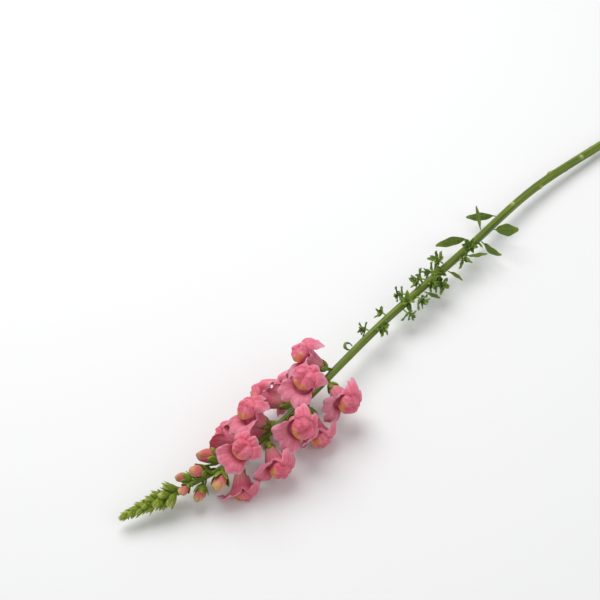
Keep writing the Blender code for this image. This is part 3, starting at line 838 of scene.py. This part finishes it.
def petal_material(settings):
    """Velvety pink petal with a mauve upper lip, a pale tube, an orange mouth, and painted shade of
    deeper pink round the throat.
    """
    made, tree, shader = new_material("petal_velvet")
    vector, way = kept_vector(tree, "way")
    part = kept_vector(tree, "part")[1]
    streak = streaks(tree, vector, 9.0, 1.6, 2.8)
    cloud = mottle(tree, 0.007, 3.0, 2.6)
    fleck = mottle(tree, 0.0018, 3.0, 2.2)
    old = calculate(tree, "SUBTRACT", 1.0, part[2])
    # Painted shade: deeper pink laid round the throat and the feet of the lips, where the fold
    # between lips and tube lies in shade
    throat = product(tree, ramped(tree, way[2], 0.62, 0.42), ramped(tree, way[2], 0.3, 0.44))
    mouth = product(tree, part[1], calculate(tree, "ADD", 0.75, cloud))
    colour = mixed(tree, part[2], rgba(settings.lip), rgba(settings.young))
    for tint, mask, amount in (
            (settings.upper, product(tree, part[0], old), 1.0),
            (settings.pale, cloud, 0.5),
            (settings.deep, streak, 0.5),
            (settings.deep, fleck, 0.2),
            # Painted shade: the streak pink laid over the throat's fold
            (settings.deep, throat, 0.5),
            (settings.edge, ramped(tree, way[2], 0.86, 1.0), 0.5),
            (settings.tube, ramped(tree, way[2], 0.36, 0.1), 0.85),
            (settings.mouth, ramped(tree, mouth, 0.12, 0.95), 0.85)):
        colour = tinted(tree, colour, tint, mask, amount)
    relief = calculate(tree, "ADD", streak, product(tree, fleck, 0.5))
    set_surface(tree, shader, colour, (streak, 0.5, 0.68), (relief, 0.5, 0.0005),
                Subsurface_Weight=0.25, Subsurface_Radius=(1.0, 0.3, 0.3), Subsurface_Scale=0.0012,
                Sheen_Weight=0.12, Sheen_Roughness=0.45, Specular_IOR_Level=0.25)
    return made


def bud_material(settings):
    """Closed bud: yellow-green at its foot, apricot and coral pink above."""
    made, tree, shader = new_material("bud_coral")
    vector, way = kept_vector(tree, "way")
    part = kept_vector(tree, "part")[1]
    streak = streaks(tree, vector, 7.0, 1.2, 2.4)
    cloud = mottle(tree, 0.004, 3.0, 1.8)
    high = calculate(tree, "ADD", way[2], product(tree, cloud, 0.25))
    tip = calculate(tree, "ADD", high, product(tree, part[0], 0.3))
    colour = mixed(tree, ramped(tree, high, 0.25, 0.6), rgba(settings.bud_foot), rgba(settings.bud))
    colour = tinted(tree, colour, settings.bud_tip, ramped(tree, tip, 0.92, 1.22))
    colour = tinted(tree, colour, settings.deep, streak, 0.4)
    colour = tinted(tree, colour, settings.deep, part[1], 0.8)
    set_surface(tree, shader, colour, (streak, 0.45, 0.62), (streak, 0.35, 0.0004),
                Subsurface_Weight=0.3, Subsurface_Radius=(1.0, 0.4, 0.25), Subsurface_Scale=0.0015,
                Sheen_Weight=0.2, Specular_IOR_Level=0.35)
    return made


def stem_material(settings):
    """Ribbed green stem with paler lengthwise stripes and bright leaf scars."""
    made, tree, shader = new_material("stem_skin")
    vector = kept_vector(tree, "way")[0]
    part = kept_vector(tree, "part")[1]
    stripe = streaks(tree, vector, 2.2, 9.0, 3.2)
    fine = streaks(tree, vector, 8.0, 30.0, 2.4)
    cloud = mottle(tree, 0.03, 3.0, 1.8)
    cut = product(tree, part[2], calculate(tree, "SUBTRACT", 1.1, fine))
    colour = mixed(tree, stripe, rgba(settings.stem), rgba(settings.stripe))
    colour = tinted(tree, colour, settings.stem_dark, fine, 0.35)
    colour = tinted(tree, colour, settings.stem_dark, cloud, 0.45)
    colour = tinted(tree, colour, settings.scar, part[1])
    colour = tinted(tree, colour, settings.cut, cut)
    set_surface(tree, shader, colour, (fine, 0.3, 0.46), (fine, 0.4, 0.0003),
                Subsurface_Weight=0.08, Subsurface_Radius=(0.6, 1.0, 0.1), Subsurface_Scale=0.001,
                Specular_IOR_Level=0.4)
    return made


def green_material(name, face, dark, bright, under, core, pairs):
    """A leaf, sepal or bract: dark and bright green, a pale midrib and its own underside."""
    made, tree, shader = new_material(name)
    way = kept_vector(tree, "way")[1]
    part = kept_vector(tree, "part")[1]
    vein = veins(tree, way[0], way[1], pairs)
    cloud = mottle(tree, 0.004, 4.0, 2.0)
    colour = mixed(tree, cloud, rgba(face), rgba(dark))
    for tint, mask, amount in (
            (bright, part[0], 0.8),
            (bright, vein, 0.5),
            (under, way[2], 0.75),
            (bright, ramped(tree, way[1], 0.72, 1.0), 0.55),
            (core, part[2], 1.0)):
        colour = tinted(tree, colour, tint, mask, amount)
    set_surface(tree, shader, colour, (cloud, 0.4, 0.58), (vein, 0.4, 0.0003),
                Subsurface_Weight=0.1, Subsurface_Radius=(0.5, 1.0, 0.1), Subsurface_Scale=0.001,
                Specular_IOR_Level=0.3)
    return made


# Settings

def tint(name, description, *default):
    return bpy.props.FloatVectorProperty(name=name, description=description, default=default,
                                         subtype="COLOR", size=3, min=0.0, max=1.0)


def amount(name, description, default, top, unit="NONE"):
    return bpy.props.FloatProperty(name=name, description=description, default=default, min=0.0,
                                   max=top, unit=unit)


class SnapdragonPetals(bpy.types.PropertyGroup):
    lip: tint("Lower lip", "Pink of the lower lip and palate", 0.83, 0.18, 0.27)
    young: tint("Young flower", "Deeper coral pink of the youngest flowers", 0.74, 0.09, 0.14)
    upper: tint("Upper lip", "Mauve pink of the upper lip", 0.67, 0.26, 0.35)
    edge: tint("Edge", "Lighter pink along the petals' edges", 0.82, 0.42, 0.53)
    # This deeper pink also serves as painted shade in each flower's throat
    deep: tint("Streak", "Deeper pink of the fine streaks", 0.55, 0.07, 0.14)
    pale: tint("Bloom", "Paler pink cloud over a petal", 0.87, 0.38, 0.46)
    tube: tint("Tube", "Pale apricot of the tube", 0.56, 0.3, 0.2)
    mouth: tint("Mouth", "Orange yellow of the palate's crest", 0.8, 0.36, 0.1)
    bud: tint("Bud", "Coral pink of a closed bud", 0.62, 0.16, 0.11)
    bud_foot: tint("Bud foot", "Yellow green at a bud's foot", 0.46, 0.38, 0.1)
    bud_tip: tint("Bud tip", "Greenish yellow at a bud's tip", 0.58, 0.44, 0.14)
    ruffle: amount("Ruffle", "Height of the petals' ruffles", 0.0014, 0.004, "LENGTH")


class SnapdragonGreens(bpy.types.PropertyGroup):
    stem: tint("Stem", "Green of the stem", 0.075, 0.13, 0.006)
    stripe: tint("Stripe", "Lighter stripes along the stem", 0.27, 0.36, 0.022)
    stem_dark: tint("Stem shade", "Darker green of the stem", 0.03, 0.06, 0.003)
    scar: tint("Scar", "Yellow green of the leaf scars", 0.42, 0.5, 0.12)
    cut: tint("Cut end", "Pale green of the cut end", 0.50, 0.56, 0.27)
    sepal: tint("Sepal", "Green of sepals and bracts", 0.12, 0.215, 0.01)
    sepal_dark: tint("Sepal shade", "Darker green of sepals", 0.03, 0.075, 0.004)
    sepal_bright: tint("Sepal light", "Yellow green of young sepals", 0.44, 0.52, 0.055)
    core: tint("Bud core", "Pale yellow petals between a green bud's sepals", 0.56, 0.55, 0.17)
    leaf: tint("Leaf", "Green of a leaf's face", 0.055, 0.125, 0.008)
    leaf_dark: tint("Leaf shade", "Darker green of a leaf", 0.02, 0.05, 0.004)
    leaf_bright: tint("Leaf light", "Lighter green of veins and young leaves", 0.34, 0.46, 0.06)
    leaf_under: tint("Leaf underside", "Greyish green of a leaf's underside", 0.15, 0.235, 0.06)


class SnapdragonStage(bpy.types.PropertyGroup):
    floor: tint("Floor", "Colour of the floor", 0.84, 0.843, 0.845)
    surround: amount("Surround", "Brightness of the soft surround", 0.47, 5.0)
    key_power: amount("Key light", "Power of the large soft light", 25.0, 500.0, "POWER")
    fill_power: amount("Fill light", "Power of the fill light", 4.0, 500.0, "POWER")


# Builders

class SNAPDRAGON_OT_stem(bpy.types.Operator):
    """Build the stem with its ribs, leaf scars and cut end"""
    bl_idname = "snapdragon.stem"
    bl_label = "Stem"

    def execute(self, context):
        growth = Growth()
        angles = angles_round(STEM_COLUMNS)
        rings, way, part = self.cut_end(angles)
        scars = [(SCAR_FIRST + number * SCAR_SPACING, number * GOLDEN_ANGLE)
                 for number in range(SCAR_COUNT)]
        for station in STEM_LENGTH * np.linspace(1, 0, STEM_RINGS) ** 1.05:
            axes, origin, _ = growth_place(station, 0, 0)
            turn = STEM_TWIST * station / STEM_LENGTH * math.pi
            radius = stem_radius(station) * (1 + 0.03 * np.cos(STEM_RIBS * angles + turn))
            bright = np.zeros(STEM_COLUMNS)
            for scar_station, scar_around in scars:
                if abs(station - scar_station) > 9 * MM:
                    continue
                apart = (np.degrees(angles) - scar_around + 180) % 360 - 180
                rise, tail = (bump_at(apart, 0, wide) * bump_at(station, scar_station + shift, long)
                              for wide, shift, long in (SCAR_RIDGE, SCAR_TAIL))
                radius = radius + (SCAR_RISE * rise + SCAR_TAIL_RISE * tail) * MM
                bright = np.maximum(bright, rise * 1.15)
            rings.append(origin + radius[:, None] * headings(angles, axes[:, 2], axes[:, 0]))
            way.append(spread(angles.shape, np.cos(angles), np.sin(angles), station))
            part.append(spread(angles.shape, 0.0, np.clip(bright, 0, 1), 0.0))
        growth.loft(rings, axis_point(STEM_LENGTH) + (0.5 * MM, 0, 0), axis_point(0), way, part)
        material = stem_material(context.scene.snapdragon_greens)
        growth.build("flower_stem", material, "stem")
        return {"FINISHED"}

    def cut_end(self, angles):
        """The flat face of the cut, its pale pith sunk a little. Its rings run the other way round
        from the stem's, so the narrow band that joins them is crossed."""
        axes, origin, _ = growth_place(STEM_LENGTH, 0, 0)
        outward = headings(angles, axes[:, 2], -axes[:, 0])
        rings = []
        way = []
        part = []
        for share, sunk in ((0.3, 0.45), (0.55, 0.3), (0.75, 0.1), (0.92, 0.0), (0.985, 0.02)):
            rings.append(origin + axes[:, 1] * sunk * MM
                         + share * stem_radius(STEM_LENGTH) * outward)
            way.append(spread(angles.shape, share * np.cos(angles), share * np.sin(angles),
                              STEM_LENGTH))
            part.append(spread(angles.shape, 0.0, 0.0, float(share < 0.95)))
        return rings, way, part


class SNAPDRAGON_OT_sepals(bpy.types.Operator):
    """Build the calyces, green buds and bracts of the head"""
    bl_idname = "snapdragon.sepals"
    bl_label = "Calyces and green buds"

    def execute(self, context):
        greens = context.scene.snapdragon_greens
        growth = Growth()
        draw = random.Random(SEPAL_SEED)
        for kind, number, station, around, lean, size in spiral_places():
            if kind == "green":
                young = number / GREEN_BUD_COUNT
                size = size * (1.22 - 0.22 * young) * draw.uniform(0.93, 1.07)
                place = growth_place(station, around, lean, stem_radius(station), size)
                height, radius = GREEN_TOOTH
                tooth = (height + draw.uniform(-0.6, 0.7),
                         radius - 0.9 * young + draw.uniform(-0.2, 0.3))
                sepal_cup(growth, place, GREEN_PROFILE, tooth, GREEN_NOTCH, GREEN_INSIDE, 40,
                          draw.random(), 0.2 + 0.6 * young * draw.uniform(0.5, 1.3))
                core_bud(growth, place, 6.9 - 1.4 * young, 1.85, (0.5, 1.0, 0.85 - 0.55 * young))
                self.bract(growth, station, around, size * draw.uniform(0.85, 1.1), draw)
                continue
            foot = -calyx_lift(station, size) / (size * MM)
            height, radius = CUP_TOOTH
            tooth = (height * draw.uniform(0.94, 1.08), radius * draw.uniform(0.95, 1.05))
            sepal_cup(growth, calyx_place(station, around, lean, size),
                      ((foot, 1.15), (foot * 0.5, 1.0), *CUP_PROFILE), tooth, CUP_NOTCH, CUP_INSIDE,
                      60, draw.random(), 0.15 + 0.3 * draw.random())
            self.bract(growth, station, around, 1.25 * size, draw)
        material = green_material("sepal_skin", greens.sepal, greens.sepal_dark,
                                  greens.sepal_bright, greens.sepal, greens.core, 3.0)
        growth.build("sepals", material, "stem")
        return {"FINISHED"}

    def bract(self, growth, station, around, size, draw):
        """The small pointed leaf under a flower."""
        lean = 30 + draw.uniform(-6, 8)
        place = growth_place(station + 2.2 * MM, around, lean, stem_radius(station) * 0.5, size)
        steps = np.linspace(0, 1, 10)
        length = 5.2 * draw.uniform(0.95, 1.2)
        bend = draw.uniform(-0.1, 0.3)
        local = np.column_stack((np.zeros(10), bend * length * steps**2, length * steps))
        spine = place.put(local)
        half = 1.75 * size * MM * np.sin(math.pi * np.clip(steps * 0.8 + 0.2, 0, 1)) ** 0.7
        blade(growth, spine, half, place.axes[:, 0], 0.35 * MM, 0.35, (0.0, 1.0, 0.0),
              (0.2 + 0.5 * draw.random(), 1.0, 0.0), columns=7)


class SNAPDRAGON_OT_blooms(bpy.types.Operator):
    """Build the open flowers, each in its calyx"""
    bl_idname = "snapdragon.blooms"
    bl_label = "Open flowers"

    def execute(self, context):
        settings = context.scene.snapdragon_petals
        material = petal_material(settings)
        ruffles = random.Random(RUFFLE_SEED)
        draw = random.Random(BLOOM_SEED)
        for number, *place in places_of("bloom"):
            growth = Growth()
            tone = 0.75 * number / BLOOM_COUNT + draw.uniform(-0.12, 0.25)
            corolla(growth, calyx_place(*place), ruffles.uniform(0, 2 * math.pi), tone, draw,
                    settings.ruffle / MM)
            growth.build(f"corolla_{number:02d}", material, f"bloom_{number:02d}")
        return {"FINISHED"}


class SNAPDRAGON_OT_buds(bpy.types.Operator):
    """Build the closed coloured buds"""
    bl_idname = "snapdragon.buds"
    bl_label = "Closed buds"

    def execute(self, context):
        material = bud_material(context.scene.snapdragon_petals)
        draw = random.Random(BUD_SEED)
        for number, *place in places_of("bud"):
            growth = Growth()
            closed_bud(growth, calyx_place(*place), draw)
            growth.build(f"closed_bud_{number:02d}", material, f"bud_{number:02d}")
        return {"FINISHED"}


class SNAPDRAGON_OT_shoots(bpy.types.Operator):
    """Build the leafy side shoots"""
    bl_idname = "snapdragon.shoots"
    bl_label = "Leafy shoots"

    def execute(self, context):
        material = leaf_material(context.scene.snapdragon_greens)
        for number, place in enumerate(SHOOTS, 1):
            station, around, lean, length, bend, leaf_count, leaf_length = place
            station = station * MM
            draw = random.Random(SHOOT_SEED + number)
            foot = growth_place(station, around, SHOOT_FOOT_LEAN, stem_radius(station) + SHOOT_GAP)
            steps = np.linspace(0, 1, 5)
            swing = math.radians(lean)
            course = [(bend * t * t, length * t * t * math.sin(swing),
                       length * t * math.cos(swing * t)) for t in steps]
            course = raised(foot.put(course), SHOOT_CLEARANCE)
            growth = Growth()
            ways = np.linspace(0, 1, SHOOT_POINTS)
            stalk(growth, read_line(ways, steps, course), SHOOT_RADIUS * (1 - 0.4 * ways), 10,
                  (0.9, 1.0, 0.0))
            heading = unit(course[-1] - course[-3])
            side = unit(np.cross(heading, ANY_SIDE))
            for leaf in range(leaf_count + TUFT_COUNT):
                way = min(1.0, (leaf + 1) / leaf_count)
                young = leaf >= leaf_count
                start = read_line(0.35 + 0.62 * way, steps, course)[0]
                turn = math.radians(leaf * GOLDEN_ANGLE + draw.uniform(-20, 20))
                outward = math.cos(turn) * side + math.sin(turn) * np.cross(heading, side)
                opening = math.radians(draw.uniform(*YOUNG_OPENINGS) if young
                                       else between(LEAF_OPENINGS, way))
                reach = leaf_length * (1.08 - 0.25 * way) * draw.uniform(0.8, 1.1) * MM
                reach = reach * (TUFT_SIZE if young else 1.0)
                angles = opening + draw.uniform(*SHOOT_LEAF_CURLS) * ways
                step = reach / (SHOOT_POINTS - 1)
                spine = raised(curled(start, step, angles, heading, outward), LEAF_CLEARANCE)
                wide = reach * draw.uniform(*SHOOT_LEAF_WIDTHS)
                half = wide * np.sin(math.pi * np.clip(0.9 * ways + 0.1, 0, 1)) ** 0.75
                blade(growth, spine, half, np.cross(heading, outward), 0.4 * MM, 0.45,
                      (0.07 * reach, 1.5, leaf * 1.3),
                      (draw.uniform(0.4, 0.9) if young else draw.uniform(0.0, 0.6), 1.0, 0.0))
            growth.build(f"leafy_shoot_{number:02d}", material, f"shoot_{number:02d}")
        return {"FINISHED"}


class SNAPDRAGON_OT_leaves(bpy.types.Operator):
    """Build the larger leaves"""
    bl_idname = "snapdragon.leaves"
    bl_label = "Leaves"

    def execute(self, context):
        material = leaf_material(context.scene.snapdragon_greens)
        draw = random.Random(LEAF_SEED)
        for number, place in enumerate(LEAVES, 1):
            station, around, lean, length, half_width, curl, sweep, twist = place
            station = station * MM
            foot = growth_place(station, around, math.copysign(SHOOT_FOOT_LEAN, lean),
                                stem_radius(station) + SHOOT_GAP)
            steps = np.linspace(0, 1, LEAF_POINTS)
            angles = np.radians(lean) * np.clip(steps * 4, 0, 1) + np.radians(curl) * steps**1.2
            _, y_axis, z_axis = np.eye(3)
            local = curled(np.zeros(3), length / (LEAF_POINTS - 1), angles, z_axis, y_axis)
            local[:, 0] += sweep * steps**2
            spine = raised(foot.put(local), 1.4 * MM + half_width * 0.25 * MM)
            swell = np.sin(math.pi * np.clip((steps - 0.14) / 0.9, 0, 1) ** 0.85)
            half = (0.6 * (1 - 0.6 * steps) + half_width * swell) * MM
            roll = math.radians(twist)
            flat = math.cos(roll) * foot.axes[:, 0] + math.sin(roll) * foot.axes[:, 2]
            growth = Growth()
            blade(growth, spine, half, flat, 0.5 * MM, 0.22,
                  (0.09 * half_width * MM, 2.5, draw.uniform(0, 6)),
                  (0.15 + 0.5 * draw.random(), 1.0, 0.0), columns=15)
            growth.build(f"stem_leaf_{number:02d}", material, f"leaf_{number:02d}")
        return {"FINISHED"}


def leaf_material(greens):
    made = bpy.data.materials.get("leaf_skin")
    if made is None:
        made = green_material("leaf_skin", greens.leaf, greens.leaf_dark, greens.leaf_bright,
                              greens.leaf_under, greens.leaf_bright, 7.0)
    return made


class SNAPDRAGON_OT_stage(bpy.types.Operator):
    """Lay the pale floor, hang the soft lights and set the camera"""
    bl_idname = "snapdragon.stage"
    bl_label = "Stage"

    def execute(self, context):
        settings = context.scene.snapdragon_stage
        mesh = bpy.data.meshes.new("pale_floor")
        corners = ((-1, -1), (1, -1), (1, 1), (-1, 1))
        mesh.from_pydata([(x * FLOOR_REACH, y * FLOOR_REACH, 0) for x, y in corners], [],
                         [(0, 1, 2, 3)])
        made, tree, shader = new_material("pale_table")
        dimmer = tuple(channel * 0.985 for channel in settings.floor)
        colour = tinted(tree, rgba(settings.floor), dimmer, mottle(tree, 0.4, 2.0, 1.0))
        tree.links.new(colour, shader.inputs["Base Color"])
        shader.inputs["Roughness"].default_value = 0.7
        shader.inputs["Specular IOR Level"].default_value = 0.2
        mesh.materials.append(made)
        new_object("pale_floor", mesh)
        world = bpy.data.worlds.new("soft_surround")
        world.use_nodes = True
        surround = world.node_tree.nodes["Background"]
        surround.inputs["Color"].default_value = (1.0, 1.0, 1.0, 1.0)
        surround.inputs["Strength"].default_value = settings.surround
        context.scene.world = world
        turn = Matrix.Rotation(math.radians(CAMERA_AZIMUTH), 3, "Z")
        middle = Vector((0.1, 0.0, 0.0))
        self.soft_light("key_light", middle, turn @ Vector((-0.5, 0.75, 1.5)), 1.6,
                        settings.key_power)
        self.soft_light("fill_light", middle, turn @ Vector((0.9, -0.9, 1.2)), 1.4,
                        settings.fill_power)
        lens = bpy.data.cameras.new("camera")
        lens.lens = CAMERA_LENS
        lens.sensor_width = CAMERA_SENSOR
        camera = new_object("camera", lens)
        camera.rotation_euler = (math.radians(90 - CAMERA_ELEVATION), 0.0,
                                 math.radians(CAMERA_AZIMUTH))
        camera.location = CAMERA_PLACE
        context.scene.camera = camera
        context.scene.view_settings.view_transform = "Standard"
        return {"FINISHED"}

    def soft_light(self, name, middle, offset, size, power):
        lamp = bpy.data.lights.new(name, "AREA")
        lamp.shape = "DISK"
        lamp.size = size
        lamp.energy = power
        made = new_object(name, lamp)
        made.location = middle + offset
        made.rotation_euler = (-offset).to_track_quat("-Z", "Y").to_euler()


class SNAPDRAGON_PT_panel(bpy.types.Panel):
    """Lists the snapdragon's pieces and its settings"""
    bl_label = "Snapdragon"
    bl_idname = "SNAPDRAGON_PT_panel"
    bl_space_type = "VIEW_3D"
    bl_region_type = "UI"
    bl_category = "Snapdragon"

    def draw(self, context):
        for operator in OPERATORS:
            self.layout.operator(operator.bl_idname)
        for name in SETTINGS:
            group = getattr(context.scene, name)
            box = self.layout.box()
            for setting in group.__annotations__:
                box.prop(group, setting)


OPERATORS = (SNAPDRAGON_OT_stem, SNAPDRAGON_OT_sepals, SNAPDRAGON_OT_blooms, SNAPDRAGON_OT_buds,
             SNAPDRAGON_OT_shoots, SNAPDRAGON_OT_leaves, SNAPDRAGON_OT_stage)
SETTINGS = {"snapdragon_petals": SnapdragonPetals, "snapdragon_greens": SnapdragonGreens,
            "snapdragon_stage": SnapdragonStage}
CLASSES = (*SETTINGS.values(), *OPERATORS, SNAPDRAGON_PT_panel)


def register():
    for entry in CLASSES:
        bpy.utils.register_class(entry)
    for name, group in SETTINGS.items():
        setattr(bpy.types.Scene, name, bpy.props.PointerProperty(type=group))


def unregister():
    for name in SETTINGS:
        delattr(bpy.types.Scene, name)
    for entry in reversed(CLASSES):
        bpy.utils.unregister_class(entry)


def main():
    register()
    bpy.ops.snapdragon.stem()
    bpy.ops.snapdragon.sepals()
    bpy.ops.snapdragon.blooms()
    bpy.ops.snapdragon.buds()
    bpy.ops.snapdragon.shoots()
    bpy.ops.snapdragon.leaves()
    bpy.ops.snapdragon.stage()


if __name__ == "__main__":
    main()
